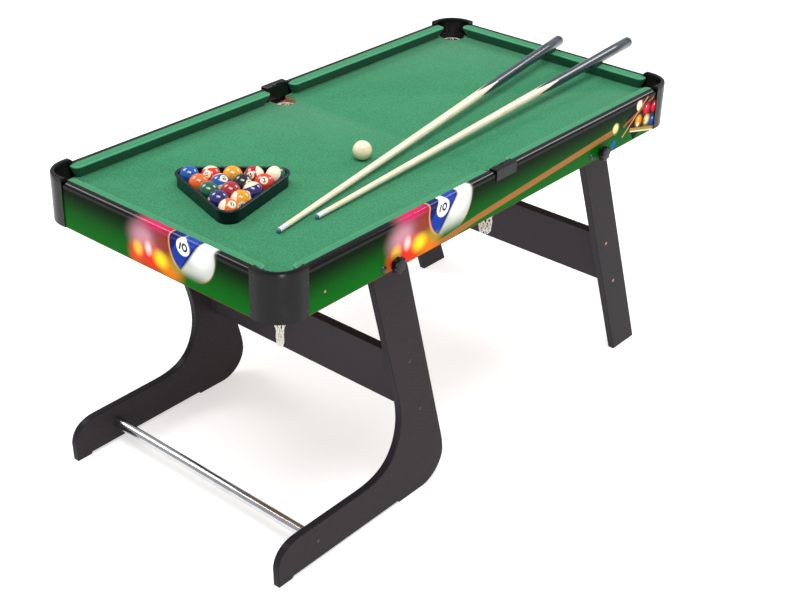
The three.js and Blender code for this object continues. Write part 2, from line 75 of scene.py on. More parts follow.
CAMERA_PLACE = at(-2278.6, -1937.0, 1984.4)
CAMERA_TURN = Euler([math.radians(a) for a in (61.80, -1.203, -49.445)])


def make_camera():
    data = bpy.data.cameras.new("camera")
    data.lens = 64.41
    data.shift_x, data.shift_y = 0.0131, -0.0549
    data.clip_end = 50
    camera = bpy.data.objects.new("camera", data)
    camera.location = CAMERA_PLACE
    camera.rotation_euler = CAMERA_TURN
    bpy.context.scene.collection.objects.link(camera)
    bpy.context.scene.camera = camera


make_camera()

# ------------------------------------------------------------------ material wiring


def tint(red, green, blue):
    """An sRGB colour, 0 to 255, as the linear colour that shaders take."""
    def linear(c):
        c /= 255
        return c / 12.92 if c <= 0.04045 else ((c + 0.055) / 1.055) ** 2.4
    return (linear(red), linear(green), linear(blue), 1.0)


class Look:
    """A procedural material while its nodes are being joined up."""

    def __init__(self, name, **sockets):
        self.material = bpy.data.materials.new(name)
        self.material.use_nodes = True
        self.tree = self.material.node_tree
        self.shader = self.tree.nodes["Principled BSDF"]
        for label, value in sockets.items():
            self.set(label.replace("_", " "), value)

    def set(self, label, value):
        self.feed(self.shader.inputs[label], value)

    def feed(self, socket, value):
        if isinstance(value, bpy.types.NodeSocket):
            self.tree.links.new(value, socket)
        elif value is not None:
            socket.default_value = value

    def node(self, kind, *inputs, **settings):
        made = self.tree.nodes.new("ShaderNode" + kind)
        for key, value in settings.items():
            setattr(made, key, value)
        for socket, value in zip(made.inputs, inputs):
            self.feed(socket, value)
        return made

    def place(self):
        return self.node("TexCoord").outputs["Object"]

    def facing(self):
        """The surface's own direction, which turns with its body."""
        return self.node("TexCoord").outputs["Normal"]

    def split(self, vector):
        return self.node("SeparateXYZ", vector).outputs

    def join(self, x, y, z=0.0):
        return self.node("CombineXYZ", x, y, z).outputs[0]

    def math(self, operation, a, b=None):
        return self.node("Math", a, b, operation=operation).outputs[0]

    def stretch(self, vector, scale):
        return self.node("VectorMath", vector, scale, operation="MULTIPLY").outputs[0]

    def noise(self, vector, scale, detail=2.0, roughness=0.5):
        made = self.node("TexNoise", vector)
        made.inputs["Scale"].default_value = scale
        made.inputs["Detail"].default_value = detail
        made.inputs["Roughness"].default_value = roughness
        return made.outputs[0]

    def fade(self, value, start, end, low=0.0, high=1.0):
        """low where value is at start, high where it is at end, with a soft change between."""
        made = self.node("MapRange", value, start, end, low, high, interpolation_type="SMOOTHSTEP")
        return made.outputs[0]

    def ramp(self, value, *stops):
        made = self.node("ValToRGB", value)
        elements = made.color_ramp.elements
        while len(elements) < len(stops):
            elements.new(0.5)
        for element, (position, colour) in zip(elements, stops):
            element.position = position
            element.color = colour
        return made.outputs[0]

    def mix(self, share, a, b, blend="MIX"):
        made = self.node("Mix", data_type="RGBA", blend_type=blend)
        self.feed(made.inputs[0], share)
        self.feed(made.inputs[6], a)
        self.feed(made.inputs[7], b)
        return made.outputs[2]

    def bump(self, height, strength, distance):
        made = self.node("Bump", strength, distance)
        self.feed(made.inputs["Height"], height)
        self.set("Normal", made.outputs[0])


# ------------------------------------------------------------------ plain materials


CLOTH = {"Roughness": 0.92, "Sheen_Weight": 0.12, "Sheen_Roughness": 0.5, "Specular_IOR_Level": 0.1}
RESIN = {"IOR": 1.52, "Coat_Weight": 0.6, "Coat_Roughness": 0.03}


def bed_cloth_look(base):
    """Short-napped green playing cloth: mottled fibres, a faint weave and a soft sheen."""
    look = Look("green_cloth", **CLOTH)
    place = look.place()
    fibres = look.noise(place, 330, 4, 0.8)
    weave = look.noise(look.stretch(place, (1.0, 2.6, 1.0)), 620, 1)
    patches = look.noise(place, 9, 2)
    dark, light = [tint(*(c * k for c in base)) for k in (0.7, 1.22)]
    colour = look.ramp(fibres, (0.32, dark), (0.5, tint(*base)), (0.68, light))
    colour = look.mix(look.fade(weave, 0.4, 0.75, 0.0, 0.35), colour, light)
    colour = look.mix(look.fade(patches, 0.3, 0.7, 0.0, 0.12), colour, dark)
    look.set("Base Color", colour)
    look.bump(look.math("ADD", fibres, weave), 0.3, 0.0004)
    return look.material


def cushion_cloth_look():
    """The playing cloth over the cushions: a painted highlight along the nose, and painted shade on the face
    below it.
    """
    look = Look("cushion_cloth_cover", **CLOTH)
    place = look.place()
    height = look.split(place)[2]
    fibres = look.noise(place, 330, 4, 0.8)
    top = look.ramp(fibres, (0.32, tint(44, 112, 78)), (0.5, tint(56, 132, 93)), (0.68, tint(72, 154, 110)))
    # Painted shade: face is the same cloth darkened, for the cushion's face below the nose.
    face = look.ramp(fibres, (0.32, tint(10, 72, 52)), (0.5, tint(18, 92, 66)), (0.68, tint(28, 112, 80)))
    colour = look.mix(look.fade(height, 715.0 * MM, 717.6 * MM), face, top)
    above, below = look.fade(height, 716.4 * MM, 718.0 * MM), look.fade(height, 719.9 * MM, 719.2 * MM)
    # Painted highlight: a pale line round the cushion's nose.
    nose = look.math("MULTIPLY", look.math("MULTIPLY", above, below), 0.35)
    look.set("Base Color", look.mix(nose, colour, tint(112, 186, 146)))
    look.bump(fibres, 0.3, 0.0004)
    return look.material


def plastic_look(name, base, roughness):
    """Moulded plastic with a fine grain and slightly uneven gloss."""
    look = Look(name, Specular_IOR_Level=0.22)
    place = look.place()
    grains = look.noise(place, 900, 2, 0.6)
    wear = look.noise(place, 22, 3, 0.6)
    lighter = tint(*(c * 1.2 + 2 for c in base))
    look.set("Base Color", look.mix(look.fade(wear, 0.4, 0.8, 0.0, 0.5), tint(*base), lighter))
    look.set("Roughness", look.fade(wear, 0.25, 0.75, roughness - 0.05, roughness + 0.08))
    look.bump(grains, 0.12, 0.0003)
    return look.material


def board_look():
    """Bare fibreboard, as on the underside: fine chips and long faint press marks."""
    look = Look("fibreboard", Roughness=0.85)
    place = look.place()
    look.set("Base Color", fibreboard_colour(look, place))
    look.bump(look.noise(place, 700, 3, 0.7), 0.3, 0.0003)
    return look.material


def fibreboard_colour(look, place):
    chips = look.noise(place, 260, 4, 0.7)
    return look.ramp(chips, (0.3, tint(120, 88, 58)), (0.55, tint(164, 128, 88)),
                     (0.75, tint(190, 156, 114)))


def laminate_look():
    """Charcoal laminate on the boards' faces, with a darker, glossier edge band."""
    look = Look("leg_laminate_detail", Specular_IOR_Level=0.07)
    place = look.place()
    streaks = look.noise(look.stretch(place, (1.0, 1.0, 9.0)), 70, 4, 0.6)
    specks = look.noise(place, 1100, 2, 0.6)
    face = look.ramp(streaks, (0.3, tint(41, 37, 39)), (0.7, tint(53, 48, 50)))
    face = look.mix(look.fade(specks, 0.55, 0.8, 0.0, 0.35), face, tint(78, 74, 78))
    across = look.math("ABSOLUTE", look.split(look.facing())[1])
    on_face = look.fade(across, 0.6, 0.9)
    look.set("Base Color", look.mix(on_face, tint(36, 34, 39), face))
    look.set("Roughness", look.fade(across, 0.6, 0.9, 0.3, 0.5))
    look.bump(specks, 0.1, 0.0002)
    return look.material


def panel_look():
    """The same laminate on the two cross panels, whose faces lean along the table."""
    look = Look("panel_laminate", Specular_IOR_Level=0.07)
    place = look.place()
    streaks = look.noise(look.stretch(place, (1.0, 9.0, 1.0)), 70, 4, 0.6)
    specks = look.noise(place, 1100, 2, 0.6)
    face = look.ramp(streaks, (0.3, tint(44, 40, 45)), (0.7, tint(56, 51, 56)))
    look.set("Base Color", look.mix(look.fade(specks, 0.55, 0.8, 0.0, 0.35), face, tint(86, 82, 86)))
    look.set("Roughness", look.fade(streaks, 0.3, 0.7, 0.46, 0.54))
    look.bump(specks, 0.1, 0.0002)
    return look.material


def metal_look(name, base, roughness, brushed=(1.0, 1.0, 1.0)):
    """Plated metal with fine drawing marks and faint smudges."""
    look = Look(name, Metallic=1.0)
    place = look.place()
    marks = look.noise(look.stretch(place, brushed), 420, 3, 0.6)
    smudges = look.noise(place, 18, 3, 0.6)
    darker = tint(*(c * 0.8 for c in base))
    look.set("Base Color", look.mix(look.fade(smudges, 0.45, 0.8, 0.0, 0.5), tint(*base), darker))
    look.set("Roughness", look.fade(marks, 0.3, 0.7, roughness * 0.7, roughness * 1.4))
    look.bump(marks, 0.08, 0.0002)
    return look.material


def net_look():
    """Twisted white string."""
    look = Look("white_string", Roughness=0.85, Sheen_Weight=0.2)
    place = look.place()
    twist = look.noise(look.stretch(place, (1.0, 1.0, 3.0)), 900, 2, 0.6)
    look.set("Base Color", look.ramp(twist, (0.3, tint(206, 202, 190)), (0.65, tint(246, 243, 234))))
    look.bump(twist, 0.5, 0.0004)
    return look.material


# ------------------------------------------------------------------ printed film on the aprons

STRIPE_START = (-350, 612)                     # where the tan stripe leaves the bottom edge
STRIPE_BEND, STRIPE_END = (-85, 637), (433, 669)


def distance_from(look, point, centre, tall=1.0):
    """How far a point on the print is from a centre; tall makes upward distances count for less."""
    away = look.node("VectorMath", point, (centre[0] * MM, centre[1] * MM, 0), operation="SUBTRACT")
    scaled = look.stretch(away.outputs[0], (1.0, 1.0 / tall, 0.0))
    return look.node("VectorMath", scaled, operation="LENGTH").outputs[1]


def disc(look, base, point, centre, radius, colour, soft=0.05, tall=1.0):
    """A filled round mark on the print; tall stretches it upward."""
    reach = distance_from(look, point, centre, tall)
    return look.mix(look.fade(reach, radius * MM, radius * MM * (1 - soft)), base, colour)


def rounded_ball(look, base, point, centre, radius, colour):
    """A printed ball: a dark outline, the colour, a lit upper part and a highlight."""
    dark, light = [tint(*(min(255, c * k + a) for c in colour)) for k, a in ((0.5, 0), (1.1, 30))]
    u, z = centre
    base = disc(look, base, point, centre, radius * 1.1, tint(4, 14, 6), 0.2)
    base = disc(look, base, point, centre, radius, dark, 0.05)
    lit, brightest, gleam = [(u + du * radius, z + dz * radius)
                             for du, dz in ((-0.06, 0.1), (-0.12, 0.25), (-0.1, 0.4))]
    base = disc(look, base, point, lit, radius * 0.9, tint(*colour), 0.35)
    base = disc(look, base, point, brightest, radius * 0.5, light, 0.9)
    return disc(look, base, point, gleam, radius * 0.15, tint(255, 255, 255), 0.6)


def bar(look, base, point, start, end, half_width, colour):
    """A straight printed bar from start to end."""
    du, dz = end[0] - start[0], end[1] - start[1]
    length = math.hypot(du, dz)
    along_way, across_way = (du / length, dz / length, 0), (-dz / length, du / length, 0)
    away = look.node("VectorMath", point, (start[0] * MM, start[1] * MM, 0), operation="SUBTRACT").outputs[0]
    along = look.node("VectorMath", away, along_way, operation="DOT_PRODUCT").outputs[1]
    across = look.node("VectorMath", away, across_way, operation="DOT_PRODUCT").outputs[1]
    inside = look.fade(look.math("ABSOLUTE", across), half_width * MM, half_width * MM * 0.8)
    inside = look.math("MULTIPLY", inside, look.fade(along, 0.0, 0.0005))
    inside = look.math("MULTIPLY", inside, look.fade(along, length * MM, length * MM - 0.0005))
    return look.mix(inside, base, colour)


def glow(look, base, point, centre, radius, colour, strength, tall):
    """A soft round glow in the print."""
    reach = distance_from(look, point, centre, tall)
    return look.mix(look.fade(reach, radius * MM, radius * MM * 0.15, 0.0, strength), base, colour)


def printed_film(name, across, sign, middle, ball_u, scale, long_side, seen_top):
    """The glossy film on one apron. across is the axis along the apron, sign its left-to-right way."""
    look = Look(name, Specular_IOR_Level=0.03, Coat_Roughness=0.12)
    place = look.place()
    parts = look.split(place)
    u = look.math("MULTIPLY", look.math("SUBTRACT", parts[across], middle), sign)
    z = parts[2]
    point = look.join(u, z)
    height = look.fade(z, APRON_BOTTOM * MM, RAIL_TOP * MM)
    base = look.ramp(height, (0.0, tint(0, 98, 16)), (0.35, tint(0, 82, 10)), (0.65, tint(0, 58, 5)),
                     (0.88, tint(0, 30, 2)), (1.0, tint(1, 8, 1)))
    if long_side:
        base = stripe(look, base, point)
    base = flames(look, base, point, ball_u, scale)
    base = striped_ball_print(look, base, point, ball_u, scale)
    if long_side:
        base = rack_print(look, base, point)
    base = dark_top_band(look, base, u, z, ball_u, scale, seen_top)
    grain = look.noise(place, 800, 2)
    base = look.mix(look.fade(grain, 0.5, 0.8, 0.0, 0.05), base, tint(20, 60, 24))
    look.set("Base Color", bare_back(look, base, place, 1 - across))
    look.set("Coat Weight", look.fade(z, (RAIL_TOP - 14) * MM, (RAIL_TOP - 6) * MM, 0.0, 0.5))
    look.set("Roughness", look.fade(look.noise(place, 35, 3), 0.3, 0.7, 0.24, 0.34))
    look.bump(grain, 0.05, 0.0002)
    return look.material


def stripe(look, base, point):
    """The tan stripe that rises from the bottom edge towards the right-hand end."""
    for start, end in ((STRIPE_START, STRIPE_BEND), (STRIPE_BEND, STRIPE_END)):
        base = bar(look, base, point, start, end, 8.5, tint(160, 106, 52))
    return base


def flames(look, base, point, u, scale):
    """Pink, red and yellow glows to the left of the printed ball."""
    spots = [
        (-150, 680, 70, (216, 150, 168), 0.85, 0.8), (-110, 728, 84, (210, 20, 92), 0.95, 0.4),
        (-92, 690, 50, (150, 60, 50), 0.9, 0.8), (-130, 645, 62, (232, 44, 28), 1.0, 0.75),
        (-180, 640, 34, (236, 70, 34), 0.9, 1.2), (-70, 640, 54, (236, 120, 16), 0.95, 0.8),
        (-100, 652, 34, (250, 222, 40), 1.0, 0.8), (-172, 655, 22, (252, 206, 70), 0.9, 1.1),
        (-48, 660, 36, (120, 150, 60), 0.85, 1.0), (-138, 664, 16, (255, 236, 226), 0.8, 1.4),
    ]
    for du, z, radius, colour, strength, tall in spots:
        centre = (u + du * scale, z)
        base = glow(look, base, point, centre, radius * scale, tint(*colour), strength, tall / scale)
    return base


def striped_ball_print(look, base, point, u, scale):
    """A large white ball with a broad blue stripe and a numbered patch, cut off by the top edge."""
    def spot(du, z):
        return u + du * scale, z

    radius, middle = 72 * scale, 702
    plain = base
    base = disc(look, base, point, spot(-3, middle - 2), radius, tint(236, 140, 50), 0.06)
    base = disc(look, base, point, spot(0, middle), radius, tint(196, 200, 190), 0.1)
    base = disc(look, base, point, spot(20, middle + 8), radius * 0.8, tint(252, 252, 250), 0.7)
    striped = bar(look, base, point, spot(-78, 655), spot(8, 760), 41 * scale, tint(10, 22, 92))
    striped = bar(look, striped, point, spot(-60, 660), spot(20, 758), 22 * scale, tint(26, 58, 158))
    reach = distance_from(look, point, (u, middle))
    base = look.mix(look.fade(reach, radius * 0.98 * MM, radius * 0.93 * MM), base, striped)
    low = look.fade(look.split(point)[1], 664 * MM, 634 * MM)
    base = look.mix(low, base, plain)
    base = disc(look, base, point, spot(-27, 703), 21 * scale, tint(246, 246, 242), 0.05)
    base = bar(look, base, point, spot(-38, 696), spot(-33, 712), 2.4, tint(18, 26, 80))
    base = disc(look, base, point, spot(-22, 703.5), 8.5, tint(18, 26, 80), 0.1, 1.15)
    return disc(look, base, point, spot(-22, 703.5), 4.2, tint(246, 246, 242), 0.15, 1.3)


def rack_print(look, base, point):
    """The printed still life at the right-hand end: racked balls, a white ball, chalk and a cue."""
    base = bar(look, base, point, (500, 650), (618, 727), 40, tint(4, 10, 5))
    base = rounded_ball(look, base, point, (436, 673), 16, (240, 224, 140))
    base = bar(look, base, point, (424, 628), (440, 642), 8, tint(0, 96, 176))
    base = bar(look, base, point, (470, 668), (600, 708), 4, tint(150, 86, 40))
    base = rounded_ball(look, base, point, (537, 706), 17, (214, 24, 44))
    base = disc(look, base, point, (535, 704), 12.5, tint(246, 238, 214), 0.1, 1.15)
    base = rounded_ball(look, base, point, (571, 684), 18, (222, 20, 50))
    base = rounded_ball(look, base, point, (607, 680), 18, (222, 20, 50))
    base = rounded_ball(look, base, point, (604, 645), 18, (14, 62, 150))
    base = rounded_ball(look, base, point, (575, 655), 17, (228, 176, 96))
    base = disc(look, base, point, (575, 655), 9, tint(240, 222, 180), 0.15)
    base = rounded_ball(look, base, point, (538, 663), 18, (236, 146, 14))
    base = disc(look, base, point, (535, 655), 6, tint(240, 236, 220), 0.2)
    base = bar(look, base, point, (500, 651), (622, 622), 5, tint(170, 136, 60))
    base = bar(look, base, point, (503, 646), (622, 617), 2, tint(232, 226, 200))
    base = bar(look, base, point, (466, 640), (598, 735), 2.6, tint(214, 142, 92))
    return disc(look, base, point, (466, 640), 3.4, tint(30, 50, 130), 0.2)


def dark_top_band(look, base, u, z, ball_u, scale, seen_top):
    """The film turns black over the rounded top edge, except where the print is seen to run over it."""
    band = look.fade(z, (RAIL_TOP - 9) * MM, (RAIL_TOP - 4) * MM)
    if seen_top:
        from_print = look.math("ABSOLUTE", look.math("SUBTRACT", u, (ball_u - 48 * scale) * MM))
        band = look.math("MULTIPLY", band, look.fade(from_print, 0.11 * scale, 0.16 * scale))
    return look.mix(band, base, tint(4, 4, 4))


def bare_back(look, printed, place, thickness_axis):
    """Bare fibreboard on the back and underside, and a thin warm line where the film ends.

    The back is painted near-black above the bed board's underside: painted shade where only the pockets show
    it.
    """
    facing = look.split(look.facing())
    out = look.split(place)[thickness_axis]
    middle = TABLE_MIDDLE_X * MM if thickness_axis == 0 else 0.0
    side = look.math("SIGN", look.math("SUBTRACT", out, middle))
    outward = look.math("MULTIPLY", facing[thickness_axis], side)
    back = look.fade(outward, -0.7, -0.9)
    under = look.fade(facing[2], -0.7, -0.9)
    bare = look.math("MAXIMUM", back, under)
    z = look.split(place)[2]
    film_end = look.fade(z, (APRON_BOTTOM + 1.4) * MM, (APRON_BOTTOM + 0.6) * MM)
    base = look.mix(film_end, printed, tint(120, 52, 30))
    # Painted shade: near-black on the bare board above the bed board's underside, inside the pockets.
    painted_pocket_shade = look.fade(z, (BED_TOP - 14) * MM, (BED_TOP - 12) * MM)
    wood = look.mix(painted_pocket_shade, fibreboard_colour(look, place), tint(10, 10, 10))
    return look.mix(bare, base, wood)


# ------------------------------------------------------------------ shape helpers


def make_piece(name, vertices, faces, *materials):
    mesh = bpy.data.meshes.new(name)
    mesh.from_pydata([tuple(v) for v in vertices], [], faces)
    mesh.update()
    for material in materials:
        mesh.materials.append(material)
    mesh.polygons.foreach_set("use_smooth", [True] * len(mesh.polygons))
    piece = bpy.data.objects.new(name, mesh)
    bpy.context.scene.collection.objects.link(piece)
    return piece


def split_sharp(piece, degrees):
    """Keeps smooth shading, but with crisp edges where faces meet at more than this angle."""
    modifier = piece.modifiers.new("crisp", "EDGE_SPLIT")
    modifier.split_angle = math.radians(degrees)


def finish_cad_node(node, material, edge=0.0):
    """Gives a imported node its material, smooth shading and, where edge is set, softly worn edges."""
    piece = NODES[node]
    mesh = piece.data
    mesh.materials.clear()
    mesh.materials.append(material)
    for layer in ("custom_normal", "sharp_edge", "sharp_face"):
        if layer in mesh.attributes:
            mesh.attributes.remove(mesh.attributes[layer])
    weld = piece.modifiers.new("weld", "WELD")
    weld.merge_threshold = 0.00001
    if edge:
        bevel = piece.modifiers.new("edge", "BEVEL")
        bevel.width = edge * MM
        bevel.segments = 2
        bevel.limit_method = "ANGLE"
        bevel.angle_limit = math.radians(40)
    split_sharp(piece, 38 if edge else 30)


def rings_to_faces(rings, around, closed_ends=True):
    """Quads between rings of equal length, joined end to end, with the first and last filled."""
    faces = []
    for ring in range(rings - 1):
        for i in range(around):
            j = (i + 1) % around
            low, high = ring * around, (ring + 1) * around
            faces.append((low + i, low + j, high + j, high + i))
    if closed_ends:
        faces.append(tuple(reversed(range(around))))
        faces.append(tuple((rings - 1) * around + i for i in range(around)))
    return faces


def lathe(name, profile, segments, *materials):
    """A turned solid about its own Z. Profile points are (radius, height), in millimetres."""
    vertices = []
    for radius, height in profile:
        for i in range(segments):
            angle = 2 * math.pi * i / segments
            vertices.append(Vector((radius * math.cos(angle), radius * math.sin(angle), height)) * MM)
    return make_piece(name, vertices, rings_to_faces(len(profile), segments), *materials)


# ------------------------------------------------------------------ playing cloth


def corner_arc(sx, sy):
    """Points round a corner pocket's cut-out, from one side of the bed to the next."""
    centre, radius = 42.5, 33
    reach = centre - APRON_INSIDE
    edge_angle = math.acos(reach / radius)
    x, y = sx * (HALF_LENGTH - centre), sy * (HALF_WIDTH - centre)
    quarter = {(-1, -1): 0, (1, -1): 1, (1, 1): 2, (-1, 1): 3}[(sx, sy)]
    first = math.pi / 2 * (quarter + 2) - edge_angle
    last = math.pi / 2 * (quarter - 1) + edge_angle
    if last > first:
        last -= 2 * math.pi
    steps = 28
    return [(x + radius * math.cos(a), y + radius * math.sin(a))
            for a in (first + (last - first) * i / steps for i in range(steps + 1))]


def middle_arc(side):
    """Points round a middle pocket's cut-out."""
    centre, radius, steps = 41, 27, 20
    y = side * (HALF_WIDTH - centre)
    start = 0 if side > 0 else math.pi
    arc = [(radius * math.cos(a), y + radius * math.sin(a))
           for a in (start - math.pi * i / steps for i in range(steps + 1))]
    edge = side * (HALF_WIDTH - APRON_INSIDE)
    return [(side * radius, edge)] + arc + [(-side * radius, edge)]


def bed_outline():
    points = corner_arc(-1, -1) + middle_arc(-1) + corner_arc(1, -1)
    return points + corner_arc(1, 1) + middle_arc(1) + corner_arc(-1, 1)


def playing_cloth(material):
    """The cloth stretched over the bed, turned down a little at its edge and into each pocket."""
    outline = bed_outline()
    count = len(outline)
    vertices = []
    for drop, inset in ((1.4, 0.35), (0.5, 0.15), (0.0, 0.9)):
        for i, (x, y) in enumerate(outline):
            ax, ay = outline[i - 1]
            bx, by = outline[(i + 1) % count]
            way = Vector((bx - ax, by - ay, 0)).normalized()
            inward = Vector((-way.y, way.x, 0)) * inset
            vertices.append(at(x + inward.x, y + inward.y, BED_TOP - drop))
    faces = rings_to_faces(3, count, closed_ends=False)
    faces.append(tuple(2 * count + i for i in range(count)))
    cloth = make_piece("playing_cloth", vertices, faces, material)
    split_sharp(cloth, 60)
    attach(cloth, "table_top")
    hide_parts("bed_cloth")


# ------------------------------------------------------------------ cushions

CUSHION_RINGS = [                     # (distance in from the nose, height)
    (12.0, 690.4), (11.2, 691.8), (9.0, 697.0), (5.0, 705.0), (1.4, 712.4), (0.3, 714.6), (0.0, 715.8),
    (0.2, 716.9), (0.9, 717.9), (2.4, 719.0), (4.0, 719.75), (4.8, 719.7), (5.4, 720.05), (8.0, 720.7),
    (13.0, 721.25), (18.0, 721.5),
]
CUSHION_END_ROUND = 13


def cushion_plan(start, end, back, nose, inset):
    """The cushion's outline at one height: square at the back, rounded at both nose corners."""
    steps = 10
    r = max(CUSHION_END_ROUND - inset * 0.6, 3.0)
    a, b, n = start + inset, end - inset, nose - inset
    points = [(a, back), (b, back)]
    points += [(b - r + r * math.cos(t), n - r + r * math.sin(t))
               for t in (math.pi / 2 * i / steps for i in range(steps + 1))]
    along = 24
    points += [(b - r + (a - b + 2 * r) * i / along, n) for i in range(1, along)]
    points += [(a + r - r * math.sin(t), n - r + r * math.cos(t))
               for t in (math.pi / 2 * i / steps for i in range(steps + 1))]
    return points


def cushion(name, node, length_start, length_end, turn, material):
    """A cloth-covered rubber cushion. turn takes its plan's (along, outward) to the table's (x, y)."""
    half = HALF_WIDTH if abs(turn(0, 1)[1]) > 0.5 else HALF_LENGTH
    back, nose = -half + APRON_INSIDE, -half + CUSHION_NOSE
    vertices = [at(*turn(a, b), z) for inset, z in CUSHION_RINGS
                for a, b in cushion_plan(length_start, length_end, back, nose, inset)]
    around = len(vertices) // len(CUSHION_RINGS)
    piece = make_piece(name, vertices, rings_to_faces(len(CUSHION_RINGS), around), material)
    fix_normals(piece)
    split_sharp(piece, 50)
    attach(piece, "table_top")
    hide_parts(node)


def fix_normals(piece):
    """Points every face outward."""
    work = bmesh.new()
    work.from_mesh(piece.data)
    bmesh.ops.recalc_face_normals(work, faces=work.faces)
    work.to_mesh(piece.data)
    work.free()


def all_cushions(material):
    side_start, side_end = -HALF_LENGTH + CORNER_CLEAR, -MIDDLE_CLEAR
    end_half = HALF_WIDTH - CORNER_CLEAR
    for side, y_sign in (("near", 1), ("far", -1)):
        for hand, x_sign in (("left", 1), ("right", -1)):
            cushion(f"cushion_cover_{hand}_{side}", f"cushion_{hand}_{side}", side_start, side_end,
                    lambda a, b, sx=x_sign, sy=y_sign: (a * sx, b * sy), material)
    for hand, sign in (("left", 1), ("right", -1)):
        cushion(f"cushion_cover_end_{hand}", f"cushion_end_{hand}", -end_half, end_half,
                lambda a, b, s=sign: (b * s, a), material)


# ------------------------------------------------------------------ pocket nets


def net_radius(profile, z):
    """The net's radius at a height, read from its outline."""
    for (r0, z0), (r1, z1) in zip(profile, profile[1:]):
        if z0 <= z <= z1:
            return r0 + (r1 - r0) * (z - z0) / (z1 - z0)
    return profile[-1][0]


NET_TOP = 675.2
NET_TURNS, NET_LENGTH = 0.62, 126              # each strand winds this share of a turn in this length
KNOT_RINGS = (11.5, 13.2)                      # where the ends are tied, in millimetres above the bottom
CORNER_MOUTH, MIDDLE_MOUTH = 31, 29
CORNER_NET_IN, MIDDLE_NET_IN = 47, 46          # from the table's outside to a net's middle
# A net's outline as (radius, height), from the bottom upward.
LONG_NET = [(5.0, 549), (7.0, 556), (7.5, 585), (12.5, 602), (20, 626)]
SAGGING_NET = [(8.0, 549), (13, 555), (14.5, 572), (14, 590), (17, 606), (21, 626)]
SHORT_NET = [(10, 605), (16, 609), (20, 619), (23, 634)]


def net(name, node, x, y, mouth, shape, material, chance):
    """A knotted string net, hanging slack and narrow because no ball is in it."""
    profile = shape + [(mouth - 4.5, 652), (mouth - 1.2, 675.5)]
    bottom, top = profile[0][1] + 0.5, NET_TOP
    strands, steps, turns = 9, 44, NET_TURNS * (top - bottom) / NET_LENGTH
    data = bpy.data.curves.new(name, "CURVE")
    data.dimensions = "3D"
    data.bevel_depth = 0.9 * MM
    data.bevel_resolution = 1
    for way in (1, -1):
        for strand in range(strands):
            first = 2 * math.pi * strand / strands
            points = []
            for i in range(steps + 1):
                share = i / steps
                z = top + share * (bottom - top)
                r = max(net_radius(profile, z) - 0.4 * (way + 1) - chance.uniform(0, 1.1), 0.9)
                angle = first + way * 2 * math.pi * turns * share + chance.uniform(-0.06, 0.06)
                points.append(at(x + r * math.cos(angle), y + r * math.sin(angle), z))
            add_line(data, points)
    for tail in range(5):
        angle = 2 * math.pi * tail / 5 + chance.uniform(-0.3, 0.3)
        start = at(x + 2 * math.cos(angle), y + 2 * math.sin(angle), bottom + 10)
        end = at(x + 5.5 * math.cos(angle), y + 5.5 * math.sin(angle), bottom + chance.uniform(0.1, 3))
        add_line(data, [start, start.lerp(end, 0.5) + Vector((0, 0, 0.001)), end])
    add_ring(data, x, y, top, mouth - 1.8)
    for height in KNOT_RINGS:
        add_ring(data, x, y, bottom + height, net_radius(profile, bottom + height) - 1.0)
    data.materials.append(material)
    piece = bpy.data.objects.new(name, data)
    bpy.context.scene.collection.objects.link(piece)
    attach(piece, "table_top")
    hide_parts(node)


def add_line(data, points, closed=False):
    line = data.splines.new("POLY")
    line.points.add(len(points) - 1)
    for target, point in zip(line.points, points):
        target.co = (*point, 1)
    line.use_cyclic_u = closed


def add_ring(data, x, y, z, radius):
    steps = 24
    turns = (2 * math.pi * i / steps for i in range(steps))
    add_line(data, [at(x + radius * math.cos(a), y + radius * math.sin(a), z) for a in turns], closed=True)


def all_nets(material):
    chance = random.Random(7)
    x, y = HALF_LENGTH - CORNER_NET_IN, HALF_WIDTH - CORNER_NET_IN
    for hand, sx in LEFT_RIGHT:
        for side, sy in NEAR_FAR:
            shape = LONG_NET if (hand, side) == ("left", "near") else SHORT_NET
            net(f"string_net_{hand}_{side}", f"net_corner_{hand}_{side}", sx * x, sy * y, CORNER_MOUTH,
                shape, material, chance)
    for side, sy in NEAR_FAR:
        net(f"string_net_middle_{side}", f"net_middle_{side}", 0, sy * (HALF_WIDTH - MIDDLE_NET_IN),
            MIDDLE_MOUTH, SAGGING_NET, material, chance)


# ------------------------------------------------------------------ balls

BALL_COLOURS = {
    "yellow": (238, 156, 4), "blue": (6, 82, 164), "red": (220, 46, 24), "purple": (38, 34, 108),
    "orange": (240, 104, 28), "green": (6, 92, 62), "maroon": (170, 20, 36), "black": (18, 20, 24),
}
CREAM = (240, 228, 196)
# Rows from the rack's front corner: number, colour, where the number shows and where the white cap shows,
# each as (right, up) seen from the camera, in ball radii. A number with None is out of sight, and a ball
# with None for its cap shows none.
RACK_ROWS = [
    [(13, "orange", (0.42, 0.42), (-0.72, 0.35))],
    [(4, "purple", (-0.93, -0.1), None), (9, "yellow", (0.22, -0.5), (-0.85, 0.0))],
    [(6, "green", (-0.25, -0.88), None), (7, "maroon", None, None),
     (12, "purple", (-0.5, -0.3), (-0.5, 0.75))],
    [(5, "orange", None, None), (10, "blue", (0.42, 0.5), (0.25, -0.85)), (8, "black", (0.72, 0.0), None),
     (3, "red", (0.05, 0.3), None)],
    [(2, "blue", None, None), (11, "red", (-0.3, 0.1), (0.0, -0.8)), (1, "yellow", None, None),
     (15, "maroon", (-0.3, 0.0), (0.72, 0.25)), (14, "green", (0.8, -0.4), (-0.45, 0.3))],
]
MEAN_ROW = 8 / 3              # the row on which the whole triangle of fifteen balances
INK_LIFT = 0.03               # how far the printed number stands proud of the ball
UNSEEN = (0.0, -0.9)          # low on the side towards the camera, behind the next ball or the rack


def seen_direction(offset):
    """A unit direction in the row frame from a (right, up) offset as the camera sees it."""
    right, up = offset or UNSEEN
    toward = math.sqrt(max(0.0, 1 - right * right - up * up))
    return CAMERA_TURN.to_matrix() @ Vector((right, up, toward))


